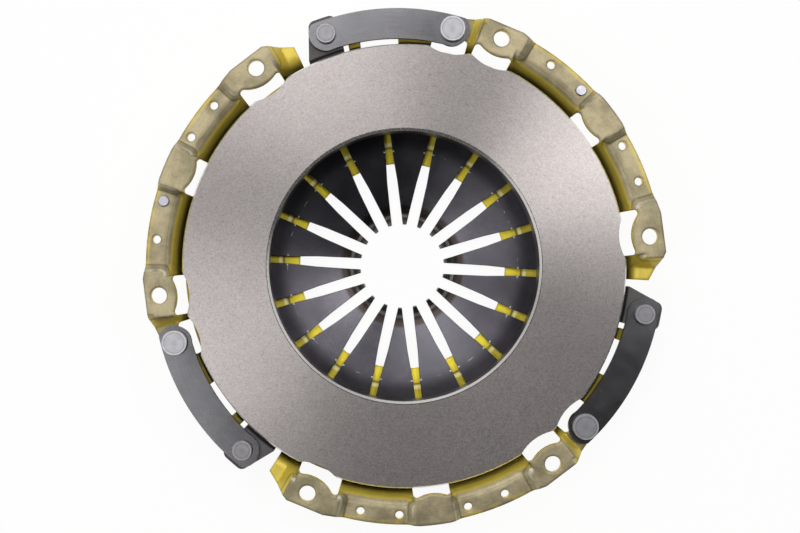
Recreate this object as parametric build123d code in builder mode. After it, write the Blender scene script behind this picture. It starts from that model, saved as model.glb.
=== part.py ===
"""Diaphragm clutch pressure plate: cover, strap-driven plate, diaphragm spring and rivets.

The frame has its origin at the centre of the mounting feet, in the plane that bolts to
the flywheel. +Z points to the flywheel and +X runs through the first bolt. The cover's
plan repeats in three equal sectors, so its angles are given from a sector's first bolt.
Lengths are millimetres and angles are degrees.
"""
import os
from math import cos, radians, sin, tan

from build123d import *

os.makedirs("parts", exist_ok=True)

# Bolt pattern that meets the flywheel
sectors = 3
sector_pitch = 360 / sectors
bolt_pcd = 275.0
bolt_hole_d = 9.0
bolt_1_at = 0.0
bolt_2_at = 60.0
mid_foot_at = 30.0

# Pressed steel cover
sheet = 3.8
bend_r = 3.0
wall_inset = 6.2
wall_draft = 16.5
wall_top = 14.0
press_relief = 0.15
press_overlap = 1.5
foot_flange_w = 14.3
mid_foot_flange_w = 13.5
bridge_flange_w = 13.0
pad_flange_w = 11.9
blank_margin = 1.4
bridge_drop = 3.0
pad_drop = 8.0
stub_drop = 9.0
stub_tip_r = 137.9
stub_side_r = 141.6

# Where the flange changes level, as angles within a sector
stub_run = (-10.2, -7.2)
foot_1_run = (-5.0, 7.6)
bridge_1_run = (9.6, 23.8)
mid_foot_run = (25.4, 34.4)
bridge_2_run = (36.0, 52.6)
foot_2_run = (54.6, 64.0)
pad_run = (67.0, 76.4)
lobe_1_at = (-3.7, 4.9, 8.9)
mid_lobe_at = (24.6, 26.6, 33.4, 35.4)
lobe_2_at = (53.2, 56.0, 64.7, 69.2)

# Feet and the windows behind them
foot_reach = 9.8
foot_nose_r = 19.4
window_floor = 30.0
window_corner_r = 3.5
window_lip_r = 2.0
foot_1_window_at = 1.45
foot_1_window_w = 25.0
mid_window_at = 30.1
mid_window_w = 21.0
foot_2_window_at = 60.45
foot_2_window_w = 22.2
pad_window_w = 20.0
pad_window_edge = 4.2
pad_nose_r = 8.9
strap_window_at = 89.35
strap_window_w = 21.6
lug_gate_at = 97.2

# Balance holes and rivets in the flange
balance_hole_d = 4.6
balance_edge = 5.3
balance_hole_at = (13.0, 22.0, 38.0, 47.0)
balance_rivet_at = 38.0
balance_rivet_sectors = (0, 1)
balance_head_d = 6.0
balance_head_h = 1.3

# Back of the cover
back_depth = 38.2
trough_offset = 10.0
land_offset = 5.0
land_w = 18.0
dish_bend_w = 4.0
dish_w = 12.5
dish_step = 1.6
dish_fall = 1.4
lip_fall = 1.2
lip_w = 6.2
back_bend_r = 3.0

# Pivot of the diaphragm spring
pivot_inset = 16.0
pivot_depth = 31.0
ring_wire_d = 3.2
ring_seat = 0.05
pivot_rivet_count = 9
pivot_rivet_inset = 4.5
pivot_shank_d = 5.5
pivot_head_d = 13.0
pivot_head_h = 2.0
pivot_tail_d = 11.5
pivot_tail_h = 2.3

# Diaphragm spring in its free state
spring_t = 2.8
spring_lip = 2.5
spring_cone = 11.0
finger_count = 18
first_slot_at = 10.0
finger_tip_r = 25.0
tip_bend_r = 33.5
tip_roll_r = 26.0
tip_roll_turn = 19.0
tip_slot_w = 6.4
mid_slot_r = 50.0
mid_slot_w = 6.0
neck_r = 66.0
neck_slot_w = 4.1
slot_window_d = 7.4

# Cast pressure plate
face_depth = 4.3
plate_t = 14.0
plate_gap = 6.9
face_w = 48.6
bore_chamfer = 1.3
rim_chamfer = 0.8
rim_land = 8.2
rim_groove_w = 2.3
groove_chamfer = 0.5
rim_taper = 5.6
ridge_inset = 6.8
ridge_crown_r = 2.6
ridge_root = 1.4
ridge_gap = 0.3
ridge_break_w = 9.0
ridge_breaks = 6
ridge_break_at = 30.0
scallop_depth = 3.3
scallop_r = 26.0

# Plate lugs
lug_t = 9.0
lug_edge = 9.6
lug_start_at = 98.6
lug_end_at = 104.6
lug_root_end_at = 108.0
lug_root_w = 2.8
lug_corner_r = 4.0
lug_embed = 4.0

# Drive straps and their rivets
leaf_count = 3
leaf_t = 0.8
strap_w = 17.0
strap_eye_r = 9.5
strap_start_inset = 0.7
strap_crown_offset = 0.7
strap_end_inset = 0.8
cover_rivet_offset = 4.3
cover_rivet_at = 71.6
lug_rivet_offset = 6.1
lug_rivet_at = 101.8
cover_shank_d = 8.0
cover_head_d = 14.4
cover_head_h = 2.1
lug_shank_d = 7.0
lug_head_d = 11.3
lug_head_h = 2.0
cover_tail_d = 12.4
lug_tail_d = 10.6
tail_head_h = 2.6
rivet_fit = 0.05
head_edge = 0.4

# Heights and radii that follow from the sizes above
draft_rise = tan(radians(wall_draft))
cone_rise = tan(radians(spring_cone))
cone_half_t = spring_t / 2 / cos(radians(spring_cone))
ring_offset = cone_half_t + (ring_wire_d / 2 + ring_seat) / cos(radians(spring_cone))
land_depth = pivot_depth + ring_offset + ring_wire_d / 2 + ring_seat
pivot_head_seat = -pivot_depth + ring_offset + ring_wire_d / 2 + ring_seat
plate_back = -face_depth - plate_t
strap_seat = -pad_drop
strap_top = strap_seat + leaf_count * leaf_t
bolt_circle_r = bolt_pcd / 2
wall_r = bolt_circle_r - wall_inset
foot_rim_r = wall_r + foot_flange_w
mid_foot_rim_r = wall_r + mid_foot_flange_w
bridge_rim_r = wall_r + bridge_flange_w
pad_rim_r = wall_r + pad_flange_w
balance_hole_r = bridge_rim_r - balance_edge
cover_rivet_r = wall_r + cover_rivet_offset
lug_rivet_r = wall_r + lug_rivet_offset
strap_start_r = cover_rivet_r - strap_start_inset
strap_crown_r = cover_rivet_r + strap_crown_offset
strap_end_r = lug_rivet_r - strap_end_inset
plate_r = wall_r - plate_gap
plate_bore_r = plate_r - face_w
back_rim_r = plate_r - rim_taper
scallop_floor_r = plate_r - scallop_depth
lug_root_r = plate_r + lug_root_w
lug_rim_r = lug_rivet_r + lug_edge
ridge_r = back_rim_r - ridge_inset
spring_rim_r = ridge_r + spring_lip
pivot_r = ridge_r - pivot_inset
pivot_rivet_r = pivot_r - pivot_rivet_inset
trough_inner_r = pivot_r + trough_offset
land_outer_r = pivot_r + land_offset
land_inner_r = land_outer_r - land_w
dish_outer_r = land_inner_r - dish_bend_w
dish_inner_r = dish_outer_r - dish_w
back_hole_r = dish_inner_r - lip_w
blank_r = max(foot_rim_r, mid_foot_rim_r, bridge_rim_r, pad_rim_r) + blank_margin


def polar(radius, angle):
    """Point of the plan at a radius and an angle."""
    return (radius * cos(radians(angle)), radius * sin(radians(angle)))


def radial_plane(angle):
    """Plane through the axis whose x runs outward at an angle and whose y is up."""
    out = (cos(radians(angle)), sin(radians(angle)), 0)
    across = (sin(radians(angle)), -cos(radians(angle)), 0)
    return Plane(origin=(0, 0, 0), x_dir=out, z_dir=across)


def facing_plane(angle, radius):
    """Plane square to the radius at an angle, whose x is tangential and whose y is up."""
    out = (cos(radians(angle)), sin(radians(angle)), 0)
    along = (-sin(radians(angle)), cos(radians(angle)), 0)
    return Plane(origin=(*polar(radius, angle), 0), x_dir=along, z_dir=out)


def wall_inside(height):
    """Radius of the cover wall's inner face at a height."""
    return wall_r + height * draft_rise


def spring_mid(radius):
    """Height of the spring's middle surface at a radius, on its straight cone."""
    return -pivot_depth + (radius - pivot_r) * cone_rise


def arc_about_axis(radius, start, end):
    """Arc about the axis at a radius, drawn in the current line builder."""
    middle = polar(radius, (start + end) / 2)
    return ThreePointArc(polar(radius, start), middle, polar(radius, end))


def ring_sector(plane, inner, outer, start, end):
    """Face on a plane between two radii and two angles."""
    with BuildSketch(plane) as face:
        with BuildLine():
            arc_about_axis(inner, start, end)
            Line(polar(inner, end), polar(outer, end))
            arc_about_axis(outer, end, start)
            Line(polar(outer, start), polar(inner, start))
        make_face()
    return face.sketch


def bend(corner, radius):
    """Start, middle and end of the arc that turns the wall's slope into the flat flange."""
    lean = radians(wall_draft)
    reach = radius * tan((radians(90) - lean) / 2)
    centre = (corner[0] + reach, corner[1] - radius)
    to_corner = radians(135) + lean / 2
    start = (corner[0] - reach * sin(lean), corner[1] - reach * cos(lean))
    middle = (centre[0] + radius * cos(to_corner), centre[1] + radius * sin(to_corner))
    return start, middle, (corner[0] + reach, corner[1])


def flange_section(angle, level, relief=0.0):
    """Section at an angle of the wall's top, its bend and the flange at a level.

    The relief thins the wall on both sides, as the press does where the flange steps.
    """
    slant = cos(radians(wall_draft))
    below = level - sheet
    foot = -wall_top - press_overlap
    inner = bend((wall_inside(level) + relief / slant, level), bend_r + sheet)
    outer = bend((wall_inside(below) + (sheet - relief) / slant, below), bend_r)
    inner_low = (wall_inside(foot) + relief / slant, foot)
    outer_low = (wall_inside(foot) + (sheet - relief) / slant, foot)
    with BuildSketch(radial_plane(angle)) as section:
        with BuildLine():
            Line(inner_low, inner[0])
            ThreePointArc(*inner)
            Polyline(inner[2], (blank_r, level), (blank_r, below), outer[2])
            ThreePointArc(outer[2], outer[1], outer[0])
            Polyline(outer[0], outer_low, inner_low)
        make_face()
    return section.sketch


def sheet_section(angle, level=None):
    """Section of the pressed sheet at an angle, from the flange or the bare wall to the hole."""
    if level is None:
        start = [(wall_inside(-wall_top), -wall_top)]
        start_radii = []
    else:
        start = [(blank_r, level), (wall_inside(level), level)]
        start_radii = [bend_r + sheet]
    dish = [
        (wall_inside(-back_depth), -back_depth),
        (trough_inner_r, -back_depth),
        (land_outer_r, -land_depth),
        (land_inner_r, -land_depth),
        (dish_outer_r, -land_depth - dish_step),
        (dish_inner_r, -land_depth - dish_step - dish_fall),
        (back_hole_r, -land_depth - dish_step - dish_fall - lip_fall),
    ]
    dish_radii = [back_bend_r] * (len(dish) - 1)
    with BuildSketch(radial_plane(angle)) as section:
        with BuildLine():
            FilletPolyline(*start, *dish, radius=start_radii + dish_radii)
            offset(amount=sheet, side=Side.LEFT)
        make_face()
    return section.sketch


def sector_plan():
    """Outline of one sector of the cover seen from the flywheel."""
    gap_r = wall_inside(-wall_top) + 2 * sheet
    first = stub_run[0]
    last = first + sector_pitch
    with BuildSketch() as plan:
        with BuildLine():
            Polyline(
                polar(back_hole_r - sheet, first),
                polar(gap_r, first),
                polar(stub_tip_r, first),
                polar(stub_side_r, stub_run[1]),
                polar(foot_rim_r, lobe_1_at[0]),
                polar(foot_rim_r, lobe_1_at[1]),
                polar(bridge_rim_r, lobe_1_at[2]),
            )
            arc_about_axis(bridge_rim_r, lobe_1_at[2], mid_lobe_at[0])
            Line(polar(bridge_rim_r, mid_lobe_at[0]), polar(mid_foot_rim_r, mid_lobe_at[1]))
            arc_about_axis(mid_foot_rim_r, mid_lobe_at[1], mid_lobe_at[2])
            Line(polar(mid_foot_rim_r, mid_lobe_at[2]), polar(bridge_rim_r, mid_lobe_at[3]))
            arc_about_axis(bridge_rim_r, mid_lobe_at[3], lobe_2_at[0])
            Polyline(
                polar(bridge_rim_r, lobe_2_at[0]),
                polar(foot_rim_r, lobe_2_at[1]),
                polar(foot_rim_r, lobe_2_at[2]),
                polar(pad_rim_r, lobe_2_at[3]),
            )
            arc_about_axis(pad_rim_r, lobe_2_at[3], pad_run[1])
            Line(polar(pad_rim_r, pad_run[1]), polar(gap_r, pad_run[1]))
            arc_about_axis(gap_r, pad_run[1], last)
            Line(polar(gap_r, last), polar(back_hole_r - sheet, last))
            arc_about_axis(back_hole_r - sheet, last, first)
        make_face()
    return plan.sketch


def window(angle, width):
    """Stamped opening through the wall and the flange's inner edge, as a cutting solid."""
    with BuildPart() as opening:
        with BuildSketch(facing_plane(angle, trough_inner_r)):
            with Locations((0, -window_floor)):
                Rectangle(width, window_floor + sheet, align=(Align.CENTER, Align.MIN))
            fillet(vertices().sort_by(Axis.Y)[:2], window_corner_r)
        extrude(amount=bolt_circle_r - trough_inner_r)
    return opening.part


def tongue(angle, window_angle, width, level, nose_at, nose_r, edge_r):
    """Tongue of flange that the window leaves standing inward of the bend.

    The window's plan ends at a radius, round the tongue's nose, with rounded corners.
    """
    with BuildSketch(Plane.XY.offset(level - sheet)) as opening:
        with Locations(Location((0, 0, 0), window_angle)):
            Rectangle(edge_r, width, align=(Align.MIN, Align.CENTER))
        with Locations(polar(nose_at, angle)):
            Circle(nose_r, mode=Mode.SUBTRACT)
        fillet(vertices().sort_by_distance((0, 0, level - sheet))[-2:], window_lip_r)
    with BuildPart() as plate:
        with BuildSketch(Plane.XY.offset(level - sheet)):
            with Locations(Location(polar(trough_inner_r, window_angle), window_angle)):
                Rectangle(tongue_end_r - trough_inner_r, width, align=(Align.MIN, Align.CENTER))
            add(opening.sketch, mode=Mode.SUBTRACT)
        extrude(amount=sheet)
    return plate.part


# Pivot rivets of one sector
pivots_per_sector = pivot_rivet_count // sectors
pivot_pitch = 360 / pivot_rivet_count
sector_pivots = [first_slot_at + pivot_pitch * count for count in range(pivots_per_sector)]

# Windows of one sector as angle and width, and the tongues of flange over them
foot_nose_at = bolt_circle_r - foot_reach + foot_nose_r
tongue_end_r = bolt_circle_r + bolt_hole_d / 2
sector_windows = [
    (foot_1_window_at, foot_1_window_w),
    (mid_window_at, mid_window_w),
    (foot_2_window_at, foot_2_window_w),
    (cover_rivet_at, pad_window_w),
    (strap_window_at, strap_window_w),
]
foot_nose = (0.0, foot_nose_at, foot_nose_r, tongue_end_r)
pad_nose = (-pad_drop, cover_rivet_r, pad_nose_r, cover_rivet_r - pad_window_edge)
sector_tongues = [
    (bolt_1_at, foot_1_window_at, foot_1_window_w, *foot_nose),
    (mid_foot_at, mid_window_at, mid_window_w, *foot_nose),
    (bolt_2_at, foot_2_window_at, foot_2_window_w, *foot_nose),
    (cover_rivet_at, cover_rivet_at, pad_window_w, *pad_nose),
]
flange_runs = [
    (stub_run, -stub_drop),
    (foot_1_run, 0.0),
    (bridge_1_run, -bridge_drop),
    (mid_foot_run, 0.0),
    (bridge_2_run, -bridge_drop),
    (foot_2_run, 0.0),
    (pad_run, -pad_drop),
]

steps = list(zip(flange_runs, flange_runs[1:]))
sector_end = stub_run[0] + sector_pitch


def wedge(start, end, level=None):
    """Stretch of the pressed sheet between two angles, with or without its flange."""
    with BuildPart() as piece:
        revolve(sheet_section(start, level), axis=Axis.Z, revolution_arc=end - start)
    return piece.part


def pressed_step(start, end, level, next_level):
    """Slope that carries the flange from one level to the next between two angles."""
    with BuildPart() as piece:
        loft(
            [
                flange_section(start, level, press_relief),
                flange_section(end, next_level, press_relief),
            ],
            ruled=True,
        )
    return piece.part


# One sector of the pressed steel cover
sheet_pieces = [wedge(*span, level) for span, level in flange_runs]
sheet_pieces.append(wedge(pad_run[1], sector_end))
for (span, level), (next_span, next_level) in steps:
    sheet_pieces.append(wedge(span[1], next_span[0]))
    sheet_pieces.append(pressed_step(span[1], next_span[0], level, next_level))
gate = ring_sector(
    Plane.XY.offset(-window_floor), trough_inner_r, blank_r, lug_gate_at, sector_end
)
with BuildPart() as cover_sector:
    add(sheet_pieces)
    add([window(angle, width) for angle, width in sector_windows], mode=Mode.SUBTRACT)
    extrude(gate, amount=window_floor + sheet, mode=Mode.SUBTRACT)
    add([tongue(*tongue_sizes) for tongue_sizes in sector_tongues])
    extrude(
        sector_plan().moved(Location((0, 0, -2 * back_depth))),
        amount=2 * back_depth + sheet,
        dir=(0, 0, 1),
        mode=Mode.INTERSECT,
    )
    with BuildSketch(Plane.XY.offset(sheet)):
        with Locations(polar(bolt_circle_r, bolt_1_at), polar(bolt_circle_r, bolt_2_at)):
            Circle(bolt_hole_d / 2)
        with Locations([polar(balance_hole_r, angle) for angle in balance_hole_at]):
            Circle(balance_hole_d / 2)
        with Locations(polar(cover_rivet_r, cover_rivet_at)):
            Circle(cover_shank_d / 2 + rivet_fit)
        with Locations([polar(pivot_rivet_r, angle) for angle in sector_pivots]):
            Circle(pivot_shank_d / 2 + rivet_fit)
    extrude(amount=-2 * back_depth, mode=Mode.SUBTRACT)

with BuildPart() as cover:
    with PolarLocations(0, sectors):
        add(cover_sector.part)
cover.part.label = "cover"
export_step(cover.part, "parts/cover.step")


def rivet(shank_d, low, high, head, tail):
    """Rivet on the axis, from its formed tail under one height to its head over another.

    The head and the tail are each a diameter and a height.
    """
    head_r = head[0] / 2
    tail_r = tail[0] / 2
    top = high + head[1]
    bottom = low - tail[1]
    with BuildPart() as pin:
        with BuildSketch(Plane.XZ):
            with BuildLine():
                Polyline(
                    (0, bottom),
                    (tail_r - head_edge, bottom),
                    (tail_r, bottom + head_edge),
                    (tail_r, low),
                    (shank_d / 2, low),
                    (shank_d / 2, high),
                    (head_r, high),
                    (head_r, top - head_edge),
                    (head_r - head_edge, top),
                    (0, top),
                    close=True,
                )
            make_face()
        revolve(axis=Axis.Z)
    return pin.part


# Wire rings that the diaphragm spring rocks between
with BuildPart() as pivot_ring_front:
    with Locations((0, 0, -pivot_depth + ring_offset)):
        Torus(pivot_r, ring_wire_d / 2)
pivot_ring_front.part.label = "pivot_ring_front"
export_step(pivot_ring_front.part, "parts/pivot_ring_front.step")

with BuildPart() as pivot_ring_rear:
    with Locations((0, 0, -pivot_depth - ring_offset)):
        Torus(pivot_r, ring_wire_d / 2)
pivot_ring_rear.part.label = "pivot_ring_rear"
export_step(pivot_ring_rear.part, "parts/pivot_ring_rear.step")

# Shouldered rivets through every second slot end, which hold both rings to the cover
pivot_rivet = rivet(
    pivot_shank_d,
    -land_depth - sheet,
    pivot_head_seat,
    (pivot_head_d, pivot_head_h),
    (pivot_tail_d, pivot_tail_h),
)
with BuildPart() as pivot_rivets:
    with PolarLocations(pivot_rivet_r, pivot_rivet_count, start_angle=first_slot_at):
        add(pivot_rivet)
pivot_rivets.part.label = "pivot_rivets"
export_step(pivot_rivets.part, "parts/pivot_rivets.step")

# Balance rivets that fill two of the small holes
balance_rivet = rivet(
    balance_hole_d - 2 * rivet_fit,
    -bridge_drop - sheet,
    -bridge_drop,
    (balance_head_d, balance_head_h),
    (balance_head_d, balance_head_h),
)
balance_points = [
    polar(balance_hole_r, balance_rivet_at + sector * sector_pitch)
    for sector in balance_rivet_sectors
]
with BuildPart() as balance_rivets:
    with Locations(balance_points):
        add(balance_rivet)
balance_rivets.part.label = "balance_rivets"
export_step(balance_rivets.part, "parts/balance_rivets.step")


def strap_leaf(turn, height):
    """Curved leaf of a drive strap, from its cover rivet to its lug rivet."""
    cover_end = polar(cover_rivet_r, turn + cover_rivet_at)
    lug_end = polar(lug_rivet_r, turn + lug_rivet_at)
    start = polar(strap_start_r, turn + cover_rivet_at)
    crown = polar(strap_crown_r, turn + (cover_rivet_at + lug_rivet_at) / 2)
    centre_line = ThreePointArc(start, crown, polar(strap_end_r, turn + lug_rivet_at))
    with BuildPart() as leaf:
        with BuildSketch(Plane.XY.offset(height)):
            SlotArc(centre_line, strap_w)
            with Locations(cover_end, lug_end):
                Circle(strap_eye_r)
            with Locations(centre_line.arc_center):
                Circle(centre_line.radius + strap_w / 2, mode=Mode.INTERSECT)
            with Locations(cover_end):
                Circle(cover_shank_d / 2 + rivet_fit, mode=Mode.SUBTRACT)
            with Locations(lug_end):
                Circle(lug_shank_d / 2 + rivet_fit, mode=Mode.SUBTRACT)
        extrude(amount=leaf_t)
    return leaf.part


# Drive straps, their cover rivets and their lug rivets, one set for each sector
cover_rivet = rivet(
    cover_shank_d,
    strap_seat - sheet,
    strap_top,
    (cover_head_d, cover_head_h),
    (cover_tail_d, tail_head_h),
)
lug_rivet = rivet(
    lug_shank_d,
    strap_seat - lug_t,
    strap_top,
    (lug_head_d, lug_head_h),
    (lug_tail_d, tail_head_h),
)
for sector in range(sectors):
    turn = sector * sector_pitch
    for layer in range(leaf_count):
        leaf = strap_leaf(turn, strap_seat + layer * leaf_t)
        leaf.label = f"drive_strap_{sector + 1}_leaf_{layer + 1}"
        export_step(leaf, f"parts/{leaf.label}.step")
    with BuildPart() as placed_cover_rivet:
        with Locations(polar(cover_rivet_r, turn + cover_rivet_at)):
            add(cover_rivet)
    placed_cover_rivet.part.label = f"cover_rivet_{sector + 1}"
    export_step(placed_cover_rivet.part, f"parts/cover_rivet_{sector + 1}.step")
    with BuildPart() as placed_lug_rivet:
        with Locations(polar(lug_rivet_r, turn + lug_rivet_at)):
            add(lug_rivet)
    placed_lug_rivet.part.label = f"lug_rivet_{sector + 1}"
    export_step(placed_lug_rivet.part, f"parts/lug_rivet_{sector + 1}.step")


def lug_plan(turn):
    """Outline of a plate lug, from inside the rim out to its slanted end."""
    root_r = plate_r - lug_embed
    with BuildSketch(Plane.XY.offset(strap_seat)) as plan:
        with BuildLine():
            Line(polar(root_r, turn + lug_start_at), polar(lug_rim_r, turn + lug_start_at))
            arc_about_axis(lug_rim_r, turn + lug_start_at, turn + lug_end_at)
            Polyline(
                polar(lug_rim_r, turn + lug_end_at),
                polar(lug_root_r, turn + lug_root_end_at),
                polar(root_r, turn + lug_root_end_at),
            )
            arc_about_axis(root_r, turn + lug_root_end_at, turn + lug_start_at)
        make_face()
        rim_corners = [
            corner
            for corner in vertices()
            if (corner.X**2 + corner.Y**2) ** 0.5 > lug_rim_r - lug_corner_r
        ]
        fillet(rim_corners, lug_corner_r)
    return plan.sketch


# Cast pressure plate with its friction face, fulcrum ridge and three lugs
crown_height = spring_mid(ridge_r) + cone_half_t + (ridge_crown_r + ridge_gap) / cos(
    radians(spring_cone)
)
with BuildPart() as pressure_plate:
    with BuildSketch(Plane.XZ):
        with BuildLine():
            Polyline(
                (ridge_r - ridge_crown_r, crown_height),
                (ridge_r - ridge_crown_r - ridge_root, plate_back),
                (plate_bore_r, plate_back),
                (plate_bore_r, -face_depth - bore_chamfer),
                (plate_bore_r + bore_chamfer, -face_depth),
                (plate_r - rim_chamfer, -face_depth),
                (plate_r, -face_depth - rim_chamfer),
                (plate_r, -face_depth - rim_land),
                (back_rim_r, plate_back),
                (ridge_r + ridge_crown_r + ridge_root, plate_back),
                (ridge_r + ridge_crown_r, crown_height),
            )
            ThreePointArc(
                (ridge_r + ridge_crown_r, crown_height),
                (ridge_r, crown_height - ridge_crown_r),
                (ridge_r - ridge_crown_r, crown_height),
            )
        make_face()
    revolve(axis=Axis.Z)
    with BuildSketch(Plane.XY.offset(plate_back)):
        with PolarLocations(ridge_r, ridge_breaks, start_angle=ridge_break_at):
            Rectangle(4 * ridge_crown_r + 4 * ridge_root, ridge_break_w)
    extrude(amount=-pivot_depth, mode=Mode.SUBTRACT)
    with BuildSketch():
        for scallop_at in (bolt_1_at, bolt_2_at, cover_rivet_at):
            with PolarLocations(scallop_floor_r + scallop_r, sectors, start_angle=scallop_at):
                Circle(scallop_r)
    extrude(amount=-pivot_depth, mode=Mode.SUBTRACT)
    for sector in range(sectors):
        extrude(lug_plan(sector * sector_pitch), amount=-lug_t)
    with BuildSketch(Plane.XZ):
        with BuildLine():
            Polyline(
                (plate_r, -face_depth),
                (plate_r, -face_depth - rim_land),
                (plate_r + rim_groove_w, -face_depth - rim_land),
                (plate_r + rim_groove_w, strap_seat - groove_chamfer),
                (plate_r + rim_groove_w + groove_chamfer, strap_seat),
                (plate_r + rim_groove_w + groove_chamfer, -face_depth),
                close=True,
            )
        make_face()
    revolve(axis=Axis.Z, mode=Mode.SUBTRACT)
    with BuildSketch(Plane.XY.offset(strap_seat + sheet)):
        with PolarLocations(lug_rivet_r, sectors, start_angle=lug_rivet_at):
            Circle(lug_shank_d / 2 + rivet_fit)
    extrude(amount=-pivot_depth, mode=Mode.SUBTRACT)
pressure_plate.part.label = "pressure_plate"
export_step(pressure_plate.part, "parts/pressure_plate.step")

# Diaphragm spring: a cone with rolled finger tips, slots and a window at each slot's end
across_spring = Vector(sin(radians(spring_cone)), -cos(radians(spring_cone))) * spring_t
with BuildSketch() as finger_slot:
    with BuildLine():
        edge = Polyline(
            (finger_tip_r - spring_t, tip_slot_w / 2),
            (tip_bend_r, tip_slot_w / 2),
            (mid_slot_r, mid_slot_w / 2),
            (neck_r, neck_slot_w / 2),
            (pivot_rivet_r, neck_slot_w / 2),
        )
        mirror(edge, about=Plane.XZ)
        Line((pivot_rivet_r, neck_slot_w / 2), (pivot_rivet_r, -neck_slot_w / 2))
        Line(
            (finger_tip_r - spring_t, tip_slot_w / 2),
            (finger_tip_r - spring_t, -tip_slot_w / 2),
        )
    make_face()
    with Locations((pivot_rivet_r, 0)):
        Circle(slot_window_d / 2)

with BuildPart() as diaphragm_spring:
    with BuildSketch(Plane.XZ):
        with BuildLine():
            top = Line(
                (spring_rim_r, spring_mid(spring_rim_r) + cone_half_t),
                (tip_bend_r, spring_mid(tip_bend_r) + cone_half_t),
            )
            top_roll = JernArc(top @ 1, top % 1, tip_roll_r, -tip_roll_turn)
            under = Line(top @ 0 + across_spring, top @ 1 + across_spring)
            under_roll = JernArc(under @ 1, under % 1, tip_roll_r + spring_t, -tip_roll_turn)
            Line(top @ 0, under @ 0)
            Line(top_roll @ 1, under_roll @ 1)
        make_face()
    revolve(axis=Axis.Z)
    with BuildSketch():
        with PolarLocations(0, finger_count, start_angle=first_slot_at):
            add(finger_slot.sketch)
    extrude(amount=2 * pivot_depth, both=True, mode=Mode.SUBTRACT)
diaphragm_spring.part.label = "diaphragm_spring"
export_step(diaphragm_spring.part, "parts/diaphragm_spring.step")
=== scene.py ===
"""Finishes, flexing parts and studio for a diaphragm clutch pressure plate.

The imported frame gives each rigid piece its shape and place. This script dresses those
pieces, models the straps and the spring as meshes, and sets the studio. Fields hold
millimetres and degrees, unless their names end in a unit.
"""

import logging
from collections.abc import Mapping, Sequence
from dataclasses import dataclass
from enum import Enum
from math import asin, atan2, cos, degrees, pi, radians, sin, sqrt, tan

import bmesh
import bpy
from mathutils import Matrix, Vector

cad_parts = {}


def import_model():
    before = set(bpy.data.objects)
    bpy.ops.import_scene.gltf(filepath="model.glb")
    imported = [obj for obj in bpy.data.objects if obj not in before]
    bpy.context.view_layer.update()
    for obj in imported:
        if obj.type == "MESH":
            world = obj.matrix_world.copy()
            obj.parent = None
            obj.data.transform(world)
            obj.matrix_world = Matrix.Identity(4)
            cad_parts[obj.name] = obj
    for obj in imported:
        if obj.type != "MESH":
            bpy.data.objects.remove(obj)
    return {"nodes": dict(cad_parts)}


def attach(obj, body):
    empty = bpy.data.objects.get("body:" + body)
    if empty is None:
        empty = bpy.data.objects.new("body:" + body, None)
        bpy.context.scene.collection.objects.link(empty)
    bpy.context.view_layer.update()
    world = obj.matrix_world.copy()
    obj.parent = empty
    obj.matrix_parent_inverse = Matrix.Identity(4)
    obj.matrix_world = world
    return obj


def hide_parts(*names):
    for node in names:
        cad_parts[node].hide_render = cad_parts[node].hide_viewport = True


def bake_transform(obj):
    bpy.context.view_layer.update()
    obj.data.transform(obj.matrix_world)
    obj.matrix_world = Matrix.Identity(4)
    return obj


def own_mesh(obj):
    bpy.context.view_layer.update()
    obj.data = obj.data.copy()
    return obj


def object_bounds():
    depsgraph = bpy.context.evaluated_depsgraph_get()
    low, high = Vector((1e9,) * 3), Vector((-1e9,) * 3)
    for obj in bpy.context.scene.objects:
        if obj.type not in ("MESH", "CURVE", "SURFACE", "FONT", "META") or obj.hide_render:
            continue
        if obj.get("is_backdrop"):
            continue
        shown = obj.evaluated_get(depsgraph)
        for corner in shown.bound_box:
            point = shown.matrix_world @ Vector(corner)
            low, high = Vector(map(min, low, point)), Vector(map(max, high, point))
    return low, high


log = logging.getLogger("clutch")

MM = 0.001
SECTORS = 3
WELD_M = 1e-6
BEVELLED_FROM = 50.0
CREASED_FROM = 20.0
BEVEL_SAMPLES = 6
QUARTER_TURN = 0.25

Colour = tuple[float, float, float]
Tint = Colour | bpy.types.NodeSocket
Grid = list[list[Vector]]


def polar(radius: float, angle: float, height: float = 0.0) -> Vector:
    """Point in metres from a radius, an angle and a height.

    Args:
        radius: Distance from the axis in millimetres.
        angle: Angle about the axis in degrees.
        height: Height in millimetres.

    Returns:
        The point in the frame, in metres.
    """
    turn = radians(angle)
    return Vector((radius * cos(turn), radius * sin(turn), height)) * MM


def sector_turn(sector: int) -> float:
    """Turn in degrees of a sector, numbered from nought."""
    return sector * 360 / SECTORS


class Body(Enum):
    """Bodies that the pieces ride on."""

    COVER = "cover"
    PLATE = "plate"


class Slot(Enum):
    """Names of the material slots for the spring and the straps."""

    SPRING = "spring_steel"
    STRAP = "strap_steel"


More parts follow.
